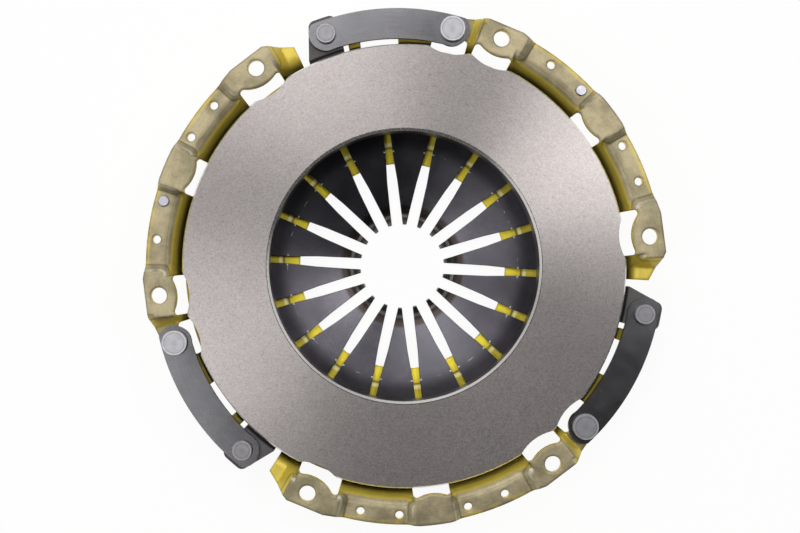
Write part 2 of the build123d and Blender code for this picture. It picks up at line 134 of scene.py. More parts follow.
class Signal:
    """A number that varies over a surface. Arithmetic on it adds Math nodes."""

    def __init__(self, graph: "Graph", socket: bpy.types.NodeSocket) -> None:
        """Keeps the graph and the output socket that carries the number.

        Args:
            graph: The node tree that the socket belongs to.
            socket: The output that gives the number.
        """
        self.graph = graph
        self.socket = socket

    def _math(self, operation: str, first: "Value", second: "Value" = 0.0) -> "Signal":
        """Adds one Math node.

        Args:
            operation: Blender's name of the operation.
            first: The first operand.
            second: The second operand.

        Returns:
            The node's result.
        """
        node = self.graph.node(
            "ShaderNodeMath", {"operation": operation}, {0: first, 1: second}
        )
        return Signal(self.graph, node.outputs[0])

    def __add__(self, other: "Value") -> "Signal":
        """Sum of two values."""
        return self._math("ADD", self, other)

    __radd__ = __add__

    def __sub__(self, other: "Value") -> "Signal":
        """Difference of two values."""
        return self._math("SUBTRACT", self, other)

    def __rsub__(self, other: "Value") -> "Signal":
        """Difference with this value on the right."""
        return self._math("SUBTRACT", other, self)

    def __mul__(self, other: "Value") -> "Signal":
        """Product of two values."""
        return self._math("MULTIPLY", self, other)

    __rmul__ = __mul__

    def __truediv__(self, other: "Value") -> "Signal":
        """Quotient of two values."""
        return self._math("DIVIDE", self, other)

    def __rtruediv__(self, other: "Value") -> "Signal":
        """Quotient with this value below."""
        return self._math("DIVIDE", other, self)

    def __pow__(self, power: "Value") -> "Signal":
        """This value raised to a power."""
        return self._math("POWER", self, power)

    def __rpow__(self, base: "Value") -> "Signal":
        """Another value raised to the power of this one."""
        return self._math("POWER", base, self)

    def __abs__(self) -> "Signal":
        """Size of this value without its sign."""
        return self._math("ABSOLUTE", self)

    def atan2(self, other: "Value") -> "Signal":
        """Angle whose sine goes with this value and cosine with the other."""
        return self._math("ARCTAN2", self, other)

    def ping(self, scale: float) -> "Signal":
        """Folds the value back and forth between nought and a scale."""
        return self._math("PINGPONG", self, scale)

    def rise(self, low: float, high: float) -> "Signal":
        """Smooth step from nought at one value to one at another.

        Args:
            low: Value at which the step starts.
            high: Value at which the step ends. It may be under the start.

        Returns:
            The step, between nought and one.
        """
        flip = low > high
        node = self.graph.node(
            "ShaderNodeMapRange",
            {"interpolation_type": "SMOOTHSTEP", "clamp": True},
            {0: self, 1: min(low, high), 2: max(low, high), 3: float(flip), 4: float(not flip)},
        )
        return Signal(self.graph, node.outputs[0])

    def band(self, middle: float, half_width: float, soft: float) -> "Signal":
        """One inside a band of values and nought outside it.

        Args:
            middle: Centre of the band.
            half_width: Half the width of its full part.
            soft: Width of the fall at each side.

        Returns:
            The mask of the band.
        """
        return abs(self - middle).rise(half_width + soft, half_width)


Value = Signal | float | int


class Graph:
    """Node tree of one material or world, built by calls and arithmetic."""

    def __init__(self, tree: bpy.types.NodeTree) -> None:
        """Empties a tree and reads the coordinates that the finishes use.

        Args:
            tree: The node tree to build in.
        """
        self.tree = tree
        tree.nodes.clear()
        self.coordinates = self.node("ShaderNodeTexCoord")

    def node(
        self,
        kind: str,
        settings: Mapping[str, object] | None = None,
        inputs: Mapping[int | str, object] | None = None,
    ) -> bpy.types.Node:
        """Adds a node.

        Args:
            kind: Blender's type name of the node.
            settings: The node's own settings, set first. A ramp's stops go under "stops".
            inputs: Values or links of its sockets, by name or index.

        Returns:
            The new node.
        """
        made = self.tree.nodes.new(kind)
        for name, value in (settings or {}).items():
            if name == "stops":
                self._set_stops(made.color_ramp, value)
            else:
                setattr(made, name, value)
        for key, value in (inputs or {}).items():
            socket = made.inputs[key]
            if isinstance(value, Signal):
                self.tree.links.new(value.socket, socket)
            elif isinstance(value, bpy.types.NodeSocket):
                self.tree.links.new(value, socket)
            elif socket.type == "RGBA" and isinstance(value, tuple) and len(value) == 3:
                socket.default_value = (*value, 1.0)
            else:
                socket.default_value = value
        return made

    @staticmethod
    def _set_stops(ramp: bpy.types.ColorRamp, stops: Sequence[tuple[float, Colour]]) -> None:
        """Writes the stops of a colour ramp.

        Args:
            ramp: The ramp.
            stops: Each stop's position and colour, in order.
        """
        while len(ramp.elements) < len(stops):
            ramp.elements.new(1.0)
        for element, (position, colour) in zip(ramp.elements, stops):
            element.position = position
            element.color = (*colour, 1.0)

    def signal(self, node: bpy.types.Node, output: int | str = 0) -> Signal:
        """Wraps one output of a node."""
        return Signal(self, node.outputs[output])

    def axes(self, vector: bpy.types.NodeSocket) -> list[Signal]:
        """Splits a vector into its three numbers."""
        node = self.node("ShaderNodeSeparateXYZ", inputs={0: vector})
        return [Signal(self, socket) for socket in node.outputs]

    def mix(self, mask: Value, under: Tint, over: Tint) -> bpy.types.NodeSocket:
        """Lays one colour over another where a mask is one.

        Args:
            mask: The share of the upper colour.
            under: The lower colour or its socket.
            over: The upper colour or its socket.

        Returns:
            The mixed colour's socket.
        """
        node = self.node("ShaderNodeMix", {"data_type": "RGBA"}, {0: mask, 6: under, 7: over})
        return node.outputs[2]

    def shade(self, colour: Tint, amount: Value) -> bpy.types.NodeSocket:
        """Darkens or lightens a colour by a factor.

        Args:
            colour: The colour or its socket.
            amount: The factor, one for no change.

        Returns:
            The scaled colour's socket.
        """
        grey = self.node("ShaderNodeCombineColor", inputs={0: amount, 1: amount, 2: amount})
        node = self.node(
            "ShaderNodeMix",
            {"data_type": "RGBA", "blend_type": "MULTIPLY"},
            {0: 1.0, 6: colour, 7: grey.outputs[0]},
        )
        return node.outputs[2]


class Surface(Graph):
    """Material graph with the place, radius and bearing of each point of the piece."""

    def __init__(self, name: str) -> None:
        """Starts a material.

        Args:
            name: Name of the material.
        """
        self.material = bpy.data.materials.new(name)
        self.material.use_nodes = True
        super().__init__(self.material.node_tree)
        self.place = self.coordinates.outputs["Object"]
        self.x, self.y, self.z = (part * (1 / MM) for part in self.axes(self.place))
        self.radius = (self.x * self.x + self.y * self.y) ** 0.5
        self.bearing = self.y.atan2(self.x)
        normal = self.coordinates.outputs["Normal"]
        self.facing_x, self.facing_y, self.facing_up = self.axes(normal)

    def facing_out(self) -> Signal:
        """How far the surface faces away from the axis, from minus one to one."""
        return (self.facing_x * self.x + self.facing_y * self.y) / self.radius

    def _texture(
        self, place: bpy.types.NodeSocket, scale: float, detail: float, rough: float
    ) -> Signal:
        """Adds one noise texture.

        Args:
            place: Socket of its coordinates.
            scale: Number of features in one unit of the coordinates.
            detail: Number of finer layers.
            rough: Strength of the finer layers.

        Returns:
            The noise, about a half on average.
        """
        inputs = {"Vector": place, "Scale": scale, "Detail": detail, "Roughness": rough}
        return self.signal(self.node("ShaderNodeTexNoise", inputs=inputs))

    def noise(self, size: float, detail: float, rough: float) -> Signal:
        """Cloudy noise whose features have a real size.

        Args:
            size: Rough size of the features in millimetres.
            detail: Number of finer layers.
            rough: Strength of the finer layers.

        Returns:
            The noise, about a half on average.
        """
        return self._texture(self.place, 1 / (size * MM), detail, rough)

    def drawn(self, per_mm: float, per_radian: float, detail: float, rough: float) -> Signal:
        """Noise drawn out along rings about the axis, or along spokes.

        Args:
            per_mm: Features in a millimetre of the radius.
            per_radian: Features in a radian about the axis.
            detail: Number of finer layers.
            rough: Strength of the finer layers.

        Returns:
            The noise, about a half on average.
        """
        inputs = {0: self.radius * per_mm, 1: self.bearing * per_radian, 2: 0.0}
        place = self.node("ShaderNodeCombineXYZ", inputs=inputs)
        return self._texture(place.outputs[0], 1.0, detail, rough)

    def bump(self, height: Value, depth: float, rounding: float = 0.0) -> bpy.types.NodeSocket:
        """Normal that follows a height.

        Args:
            height: The height, from nought to one.
            depth: Real height of one, in millimetres.
            rounding: Radius that softens the piece's creases, in millimetres.

        Returns:
            The normal's socket.
        """
        inputs = {"Height": height, "Distance": depth * MM, "Strength": 1.0}
        if rounding:
            samples = {"samples": BEVEL_SAMPLES}
            soft = self.node("ShaderNodeBevel", samples, {"Radius": rounding * MM})
            inputs["Normal"] = soft.outputs[0]
        return self.node("ShaderNodeBump", inputs=inputs).outputs[0]

    def close(
        self,
        colour: Tint,
        metallic: Value,
        roughness: Value,
        normal: bpy.types.NodeSocket,
        turned: float = 0.0,
    ) -> bpy.types.Material:
        """Ends the material with its shader.

        Args:
            colour: Base colour or its socket.
            metallic: Share of bare metal.
            roughness: Roughness of the surface.
            normal: Socket of the bumped normal.
            turned: How strongly rings about the axis spread the shine along the radius.

        Returns:
            The finished material.
        """
        inputs = {
            "Base Color": colour,
            "Metallic": metallic,
            "Roughness": roughness,
            "Normal": normal,
        }
        if turned:
            inputs |= {"Anisotropic": turned, "Anisotropic Rotation": QUARTER_TURN}
        shader = self.node("ShaderNodeBsdfPrincipled", inputs=inputs)
        self.node("ShaderNodeOutputMaterial", inputs={"Surface": shader.outputs[0]})
        return self.material


@dataclass(frozen=True)
class GroundIron:
    """Cast iron with a ground friction face, a turned bore and a dark skin elsewhere."""

    face_colour: Colour = (0.365, 0.334, 0.324)
    edge_colour: Colour = (0.80, 0.78, 0.76)
    skin_colour: Colour = (0.085, 0.08, 0.078)
    turned_colour: Colour = (0.085, 0.078, 0.06)
    face_z: float = -4.3
    chamfer: float = 1.1
    bore_r: float = 75.8
    skin_roughness: float = 0.62
    bump_depth: float = 0.03
    turned: float = 0.62

    def material(self) -> bpy.types.Material:
        """Builds the finish.

        Returns:
            The material of the pressure plate.
        """
        s = Surface("ground_iron")
        grain = s.noise(0.8, detail=2.0, rough=0.6)
        pores = s.noise(1.7, detail=2.0, rough=0.5).rise(0.60, 0.74)
        cloud = s.noise(26.0, detail=3.0, rough=0.6)
        rings = s.drawn(1.6, 6.0, detail=2.0, rough=0.5)
        # Where the plate is ground, chamfered and bored; the rest keeps its skin.
        face = s.z.band(self.face_z, 0.25, 0.2) * s.facing_up.rise(0.8, 0.95)
        chamfer_z = self.face_z - self.chamfer
        chamfer = s.z.rise(chamfer_z - 0.4, chamfer_z) * s.facing_up.rise(0.3, 0.6)
        chamfer = chamfer * (1 - face)
        bore = s.radius.rise(self.bore_r + 1.9, self.bore_r + 1.2) * (1 - chamfer)
        speckle = 0.50 + grain * 0.80 + cloud * 0.16 - pores * 0.16
        ground = s.shade(self.face_colour, speckle + (rings - 0.5) * 0.10)
        skin = s.shade(self.skin_colour, 0.6 + s.noise(2.2, detail=5.0, rough=0.6) * 0.9)
        colour = s.mix(bore, skin, s.shade(self.turned_colour, 0.85 + rings * 0.3))
        colour = s.mix(chamfer, colour, self.edge_colour)
        colour = s.mix(face, colour, ground)
        machined = chamfer + bore * 0.8
        roughness = self.skin_roughness - machined * 0.36 - face * 0.26 + (grain - 0.5) * 0.12
        height = grain * (0.12 + (1 - face) * 0.88)
        metal = 0.35 + machined * 0.6 + face * 0.65
        return s.close(colour, metal, roughness, s.bump(height, self.bump_depth), self.turned)


@dataclass(frozen=True)
class PassivatedSheet:
    """Pressed steel with a yellow passivation, dulled to olive on the flange's flats."""

    gold: Colour = (0.64, 0.49, 0.065)
    wall_sheen_gold: Colour = (0.88, 0.70, 0.12)
    lip_gold: Colour = (0.70, 0.56, 0.02)
    lip_highlight_colour: Colour = (0.95, 0.88, 0.50)
    wall_shadow: Colour = (0.022, 0.018, 0.006)
    olive: Colour = (0.40, 0.34, 0.205)
    shadow_olive: Colour = (0.20, 0.172, 0.10)
    rubbed: Colour = (0.64, 0.60, 0.48)
    dirt_and_shade: Colour = (0.10, 0.085, 0.03)
    pad_colour: Colour = (0.20, 0.175, 0.08)
    edge_z: float = -0.75
    bridge_z: float = -3.0
    pad_z: float = -8.0
    wall_shadow_z: float = -7.0
    wall_shadow_depth: float = 11.0
    rim_r: float = 144.3
    dish_z: float = -31.0
    lip_fold_r: float = 69.6
    lip_highlight_r: float = 71.7
    roughness: float = 0.40
    bump_depth: float = 0.08
    rounding: float = 2.2

    def material(self) -> bpy.types.Material:
        """Builds the finish.

        Returns:
            The material of the cover.
        """
        s = Surface("passivated_sheet")
        cloud = s.noise(9.0, detail=4.0, rough=0.6)
        blotch = s.noise(17.0, detail=5.0, rough=0.62)
        grain = s.noise(1.3, detail=3.0, rough=0.7)
        drawn = s.drawn(1.1, 9.0, detail=4.0, rough=0.65)
        # The flange's flats are rubbed to olive, apart from a rim of clean yellow.
        worn = s.facing_up.rise(0.52, 0.80) * s.z.rise(self.bridge_z - 3.2, self.bridge_z - 1.2)
        rim = s.radius.rise(self.rim_r - 3.4, self.rim_r + 0.2) * s.z.rise(-0.6, -2.4)
        worn = worn * (1 - rim * cloud.rise(0.30, 0.62) * 0.9)
        olive = s.mix(blotch.rise(0.36, 0.66) * 0.85, self.olive, self.shadow_olive)
        olive = s.shade(olive, 0.56 + drawn * 0.42 + grain * 0.46)
        gold = s.shade(self.gold, 0.80 + cloud * 0.34)
        # Steep walls take a lighter gold as a painted sheen, and their insides take a painted
        # shadow that deepens with depth.
        # Painted sheen: steep walls get a lighter copy of the gold.
        walls = s.facing_up.rise(0.45, 0.1)
        gold = s.mix(walls, gold, s.shade(self.wall_sheen_gold, 0.84 + cloud * 0.4))
        dished = s.z.rise(self.dish_z, self.dish_z - 3.0)
        gold = s.mix(dished, gold, s.shade(self.lip_gold, 0.80 + cloud * 0.4))
        # Painted shadow darkens the insides of the walls with depth, next to the plate.
        deep = s.z.rise(self.wall_shadow_z, self.wall_shadow_z - self.wall_shadow_depth)
        deep = s.facing_out().rise(-0.4, -0.8) * deep
        gold = s.mix(deep * 0.92, gold, self.wall_shadow)
        # Inside the dish a dark line follows the fold and a darker ring lies outside it, with a
        # painted highlight just beyond the fold.
        fold = s.radius.band(self.lip_fold_r, 0.3, 0.7) * 0.6
        hollow = s.radius.rise(self.lip_fold_r - 0.8, self.lip_fold_r + 1.2)
        hollow = hollow * (0.12 + blotch.rise(0.35, 0.6) * 0.26)
        inside = dished * s.facing_up.rise(0.2, 0.6)
        gold = s.mix(inside * (fold + hollow).rise(0.0, 1.0), gold, self.dirt_and_shade)
        # A painted highlight lies on a ring just outside the fold.
        lip_highlight = s.radius.band(self.lip_highlight_r, 0.45, 1.1) * (0.4 + cloud * 0.6)
        gold = s.mix(inside * lip_highlight, gold, self.lip_highlight_colour)
        colour = s.mix(worn, gold, olive)
        # The strap seats are dark, the feet's edges are marked by use, and the bends get a
        # painted shade.
        pad = s.z.band(self.pad_z, 0.3, 0.2) * s.facing_up.rise(0.9, 0.98)
        colour = s.mix(pad * 0.85, colour, self.pad_colour)
        scuff = s.noise(4.0, detail=6.0, rough=0.72).rise(0.64, 0.74) * worn
        edges = s.z.band(self.edge_z, 0.28, 0.3) * worn * cloud.rise(0.36, 0.60)
        colour = s.mix(scuff * 0.5 + edges * 0.6, colour, self.rubbed)
        # Painted shade darkens the bends at the bridges' level.
        crease = s.z.band(self.bridge_z + 0.1, 0.3, 0.4) * s.facing_up.rise(0.985, 0.94)
        colour = s.mix(crease * 0.5, colour, self.dirt_and_shade)
        roughness = self.roughness + worn * 0.06 + (grain - 0.5) * 0.16
        normal = s.bump(grain * 0.5 + drawn * 0.5, self.bump_depth, self.rounding)
        return s.close(colour, 0.35 + worn * 0.2, roughness, normal)


@dataclass(frozen=True)
class BluedStrap:
    """Dark rolled spring steel of the drive straps."""

    colour: Colour = (0.142, 0.132, 0.136)
    streak: Colour = (0.128, 0.134, 0.144)
    roughness: float = 0.25
    bump_depth: float = 0.006

    def material(self) -> bpy.types.Material:
        """Builds the finish.

        Returns:
            The material of the strap leaves.
        """
        s = Surface("blued_strap")
        cloud = s.noise(14.0, detail=4.0, rough=0.6)
        rolled = s.drawn(2.2, 7.0, detail=3.0, rough=0.6)
        grain = s.noise(1.2, detail=3.0, rough=0.7)
        colour = s.mix(rolled.rise(0.38, 0.62), self.colour, self.streak)
        colour = s.shade(colour, 0.42 + cloud * 0.48 + rolled * 0.60 + grain * 0.08)
        roughness = self.roughness + (cloud - 0.5) * 0.14 + (grain - 0.5) * 0.04
        normal = s.bump(grain * 0.3 + rolled * 0.7, self.bump_depth)
        return s.close(colour, 1.0, roughness, normal)


@dataclass(frozen=True)
class TemperedSpring:
    """Dark tempered disc spring with a brown tint at the finger tips."""

    colour: Colour = (0.088, 0.084, 0.096)
    rim_shade_colour: Colour = (0.030, 0.028, 0.032)
    tint_colour: Colour = (0.036, 0.026, 0.021)
    tip_colour: Colour = (0.060, 0.056, 0.052)
    glint_colour: Colour = (0.33, 0.32, 0.30)
    mark_colour: Colour = (0.62, 0.62, 0.62)
    tip_r: float = 25.0
    tint_r: float = 36.3
    glint_r: float = 29.8
    scribe_r: float = 67.4
    slots: int = 18
    first_slot_at: float = 10.0
    slot_half: float = 2.1
    roughness: float = 0.24
    bump_depth: float = 0.008

    def material(self) -> bpy.types.Material:
        """Builds the finish.

        Returns:
            The material of the diaphragm spring.
        """
        s = Surface("tempered_spring")
        cloud = s.noise(16.0, detail=4.0, rough=0.62)
        ground = s.drawn(0.22, 120.0, detail=3.0, rough=0.6)
        grain = s.noise(0.5, detail=3.0, rough=0.7)
        # The fingers darken towards the rim, a painted shade where the plate's bore edge shades
        # them.
        outer = s.radius.rise(self.scribe_r - 4.0, self.scribe_r + 6.5)
        colour = s.mix(outer, self.colour, self.rim_shade_colour)
        colour = s.shade(colour, 0.44 + cloud * 0.56 + ground * 0.40 + grain * 0.16)
        # The tips are tinted brown, and a painted glint lies across each on its curl.
        tint = s.radius.rise(self.tint_r + 1.2, self.tint_r - 1.6)
        tip = s.radius.rise(self.tip_r + 7.2, self.tip_r + 5.8)
        colour = s.mix(tint * 0.85, colour, self.tint_colour)
        colour = s.mix(tip, colour, self.tip_colour)
        glint = s.radius.band(self.glint_r, 0.45, 0.9) * s.facing_up.rise(0.8, 0.95)
        colour = s.mix(glint * cloud.rise(0.2, 0.6), colour, self.glint_colour)
        # A scribed ring of short ticks has a dot on each side of every slot.
        pitches = (s.bearing - radians(self.first_slot_at)) * (self.slots / (2 * pi))
        beside = pitches.ping(0.5) * s.radius * (2 * pi / self.slots)
        dots = beside.rise(self.slot_half + 1.4, self.slot_half + 0.7)
        dots = dots * s.radius.band(self.scribe_r, 0.22, 0.35)
        ticks = s.noise(5.0, detail=3.0, rough=0.6).rise(0.52, 0.66)
        ticks = ticks * s.radius.band(self.scribe_r, 0.10, 0.2)
        marks = (dots * 0.8 + ticks * (1 - dots) * 0.35) * s.facing_up.rise(0.6, 0.9)
        colour = s.mix(marks, colour, self.mark_colour)
        roughness = self.roughness + (cloud - 0.5) * 0.12 + (grain - 0.5) * 0.08
        normal = s.bump(ground * 0.6 + grain * 0.4, self.bump_depth)
        return s.close(colour, 1 - marks, roughness, normal)


@dataclass(frozen=True)
class UpsetSteel:
    """Light steel of rivets, whose upset heads keep the rings that the tool leaves.

    A head is given by the radius and the angle of its middle. Its edge takes a painted
    highlight.
    """

    name: str
    colour: Colour = (0.40, 0.40, 0.41)
    roughness: float = 0.42
    head: tuple[float, float] | None = None
    head_r: float = 5.0
    metal: float = 0.75
    bump_depth: float = 0.03

    def material(self) -> bpy.types.Material:
        """Builds the finish.

        Returns:
            The material of one kind of rivet.
        """
        s = Surface(self.name)
        cloud = s.noise(4.0, detail=4.0, rough=0.65)
        grain = s.noise(1.1, detail=3.0, rough=0.7)
        shade = 0.50 + cloud * 0.60 + grain * 0.40
        if self.head:
            middle = polar(*self.head) / MM
            across, along = s.x - middle.x, s.y - middle.y
            reach = (across * across + along * along) ** 0.5
            groove = reach.band(self.head_r - 1.5, 0.12, 0.3) * 0.30
            dimple = reach.rise(2.2, 0.6) * 0.10
            # A painted highlight lightens the head's edge.
            edge = reach.rise(self.head_r - 1.3, self.head_r - 0.9) * 0.22
            shade = shade + edge - groove - dimple
        colour = s.shade(self.colour, shade)
        rough = self.roughness + (grain - 0.5) * 0.2
        normal = s.bump(grain * 0.5 + cloud * 0.5, self.bump_depth)
        return s.close(colour, self.metal, rough, normal)


def add_slab(work: bmesh.types.BMesh, top: Grid, under: Grid, shared: int = 0) -> None:
    """Adds a slab between two matching grids of points.

    Args:
        work: The mesh that takes it.
        top: Rows of points of the upper face.
        under: Rows of points of the lower face.
        shared: Number of last rows whose sides meet the next slab and stay open.
    """
    uppers = [[work.verts.new(point) for point in row] for row in top]
    lowers = [[work.verts.new(point) for point in row] for row in under]
    rows = len(top) - 1
    columns = len(top[0]) - 1
    for i in range(rows):
        for j in range(columns):
            a, b, c, d = (i, j), (i, j + 1), (i + 1, j + 1), (i + 1, j)
            work.faces.new([uppers[p][q] for p, q in (a, b, c, d)])
            work.faces.new([lowers[p][q] for p, q in (a, d, c, b)])
        if i < rows - shared:
            for j in (0, columns):
                work.faces.new((uppers[i][j], uppers[i + 1][j], lowers[i + 1][j], lowers[i][j]))
    for j in range(columns):
        for i in (0, rows):
            work.faces.new((uppers[i][j], uppers[i][j + 1], lowers[i][j + 1], lowers[i][j]))


def make_piece(name: str, work: bmesh.types.BMesh, rounding: float = 0.0) -> bpy.types.Object:
    """Turns a finished mesh into an object with rounded edges and smooth shading.

    Args:
        name: Name of the piece.
        work: The mesh, which is freed.
        rounding: Width of the rounding of sharp edges, in millimetres.

    Returns:
        The new object.
    """
    bmesh.ops.remove_doubles(work, verts=work.verts, dist=WELD_M)
    bmesh.ops.recalc_face_normals(work, faces=work.faces)
    if rounding:
        least = radians(BEVELLED_FROM)
        sharp = [e for e in work.edges if e.is_manifold and e.calc_face_angle() > least]
        bmesh.ops.bevel(
            work,
            geom=sharp,
            offset=rounding * MM,
            segments=2,
            profile=0.5,
            affect="EDGES",
            clamp_overlap=True,
        )
    mesh = bpy.data.meshes.new(name)
    work.to_mesh(mesh)
    work.free()
    mesh.polygons.foreach_set("use_smooth", [True] * len(mesh.polygons))
    mesh.set_sharp_from_angle(angle=radians(CREASED_FROM))
    piece = bpy.data.objects.new(name, mesh)
    bpy.context.scene.collection.objects.link(piece)
    return piece


def paint(piece: bpy.types.Object, material: bpy.types.Material) -> None:
    """Gives a piece one material."""
    piece.data.materials.clear()
    piece.data.materials.append(material)


@dataclass
class RigidPieces:
    """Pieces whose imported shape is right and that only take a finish."""

    nodes: Mapping[str, bpy.types.Object]
    balance_colour: Colour = (0.42, 0.42, 0.46)
    wire_colour: Colour = (0.3, 0.3, 0.31)
    cover_head_colour: Colour = (0.35, 0.345, 0.365)
    cover_head_r: float = 7.2
    lug_head_colour: Colour = (0.235, 0.228, 0.24)
    lug_head_r: float = 5.65

    def dress(self) -> None:
        """Gives every rigid node its finish."""
        iron = GroundIron().material()
        sheet = PassivatedSheet().material()
        plain = UpsetSteel("rivet_steel").material()
        bright = UpsetSteel("balance_steel", self.balance_colour, roughness=0.34).material()
        wire = UpsetSteel("ring_wire", self.wire_colour, roughness=0.36).material()
        finishes = {
            "pressure_plate": iron,
            "cover": sheet,
            "balance_rivets": bright,
            "pivot_rivets": plain,
            "pivot_ring_front": wire,
            "pivot_ring_rear": wire,
        }
        straps = DriveStraps()
        for sector in range(SECTORS):
            turn = sector_turn(sector)
            number = sector + 1
            finishes[f"cover_rivet_{number}"] = UpsetSteel(
                f"cover_rivet_steel_{number}",
                self.cover_head_colour,
                roughness=0.36,
                head=(straps.cover_r, turn + straps.cover_at),
                head_r=self.cover_head_r,
            ).material()
            finishes[f"lug_rivet_{number}"] = UpsetSteel(
                f"lug_rivet_steel_{number}",
                self.lug_head_colour,
                roughness=0.40,
                head=(straps.lug_r, turn + straps.lug_at),
                head_r=self.lug_head_r,
            ).material()
        for name, material in finishes.items():
            paint(self.nodes[name], material)
            log.info("finished %s", name)


@dataclass
class DriveStraps:
    """Three packs of curved leaves that carry the plate from the cover."""

    leaves: int = 3
    leaf_t: float = 0.8
    seat_z: float = -8.0
    half_width: float = 8.5
    eye_r: float = 9.5
    cover_r: float = 135.6
    cover_at: float = 71.6
    lug_r: float = 137.4
    lug_at: float = 101.8
    start_r: float = 134.9
    crown_r: float = 136.3
    end_r: float = 136.6
    clamped: float = 7.0
    rounding: float = 0.14
    stations: int = 44
    end_stations: int = 12
    columns: int = 8

    def centre_line(self, turn: float) -> tuple[Vector, float, float, float]:
        """Arc along the middle of a leaf, from one eye to the other.

        Args:
            turn: Turn of the sector in degrees.

        Returns:
            The arc's centre, its radius, and its start and end angles in degrees.
        """
        middle = (self.cover_at + self.lug_at) / 2
        a = polar(self.start_r, turn + self.cover_at) / MM
        b = polar(self.crown_r, turn + middle) / MM
        c = polar(self.end_r, turn + self.lug_at) / MM
        across = 2 * (a.x * (b.y - c.y) + b.x * (c.y - a.y) + c.x * (a.y - b.y))
        aa, bb, cc = a.length_squared, b.length_squared, c.length_squared
        x = (aa * (b.y - c.y) + bb * (c.y - a.y) + cc * (a.y - b.y)) / across
        y = (aa * (c.x - b.x) + bb * (a.x - c.x) + cc * (b.x - a.x)) / across
        centre = Vector((x, y, 0))
        start = degrees(atan2(a.y - y, a.x - x))
        sweep = (degrees(atan2(c.y - y, c.x - x)) - start) % 360
        return centre, (a - centre).length, start, start + sweep

    def edges_at(self, beyond: float, shift: float) -> tuple[float, float]:
        """Inner and outer edge of a leaf at a distance past the nearer rivet.

        Args:
            beyond: Distance in millimetres, negative between the rivets.
            shift: How far the rivet lies outside the leaf's middle line.

        Returns:
            The offsets of both edges from the middle line in millimetres.
        """
        eye = sqrt(max(self.eye_r**2 - beyond**2, 0.0))
        strip = sqrt(max(self.half_width**2 - max(beyond, 0.0) ** 2, 0.0))
        return min(shift - eye, -strip), min(max(shift + eye, strip), self.half_width)

    def station_distances(self, length: float) -> list[float]:
        """Distances of a leaf's rows along its centre line, closer together round the eyes.

        Args:
            length: Length of the line between the rivets.

        Returns:
            The distances in rising order, counted from the cover rivet.
        """
        quarter = pi / 2
        ends = [
            self.eye_r * cos(quarter * (1 - i / self.end_stations) + quarter)
            for i in range(self.end_stations)
        ]
        between = [length * i / self.stations for i in range(self.stations + 1)]
        return ends + between + [length - distance for distance in reversed(ends)]

    def leaf(self, sector: int, layer: int) -> bpy.types.Object:
        """Builds one leaf.

        Args:
            sector: Number of the sector, from nought.
            layer: Number of the leaf in its pack, from nought at the seat.

        Returns:
            The leaf's object.
        """
        centre, radius, start, end = self.centre_line(sector_turn(sector))
        length = radius * radians(end - start)
        low = self.seat_z + layer * self.leaf_t
        top: Grid = []
        under: Grid = []
        for distance in self.station_distances(length):
            near_cover = distance < length / 2
            shift = self.cover_r - self.start_r if near_cover else self.lug_r - self.end_r
            inner, outer = self.edges_at(max(-distance, distance - length), shift)
            angle = radians(start) + distance / radius
            upper: list[Vector] = []
            for column in range(self.columns + 1):
                out = radius + inner + (outer - inner) * column / self.columns
                x, y = centre.x + out * cos(angle), centre.y + out * sin(angle)
                upper.append(Vector((x, y, 0)))
            top.append([(p + Vector((0, 0, low + self.leaf_t))) * MM for p in upper])
            under.append([(p + Vector((0, 0, low))) * MM for p in upper])
        work = bmesh.new()
        add_slab(work, top, under)
        return make_piece(f"strap_{sector + 1}_leaf_{layer + 1}", work, self.rounding)

    def build(self) -> None:
        """Builds and dresses all the leaves, and hides the imported ones."""
        steel = BluedStrap().material()
        for sector in range(SECTORS):
            turn = sector_turn(sector)
            first = polar(self.cover_r, turn + self.cover_at, self.seat_z)
            last = polar(self.lug_r, turn + self.lug_at, self.seat_z)
            for layer in range(self.leaves):
                piece = self.leaf(sector, layer)
                paint(piece, steel)
                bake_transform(piece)
                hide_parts(f"drive_strap_{sector + 1}_leaf_{layer + 1}")
                log.info("built %s", piece.name)


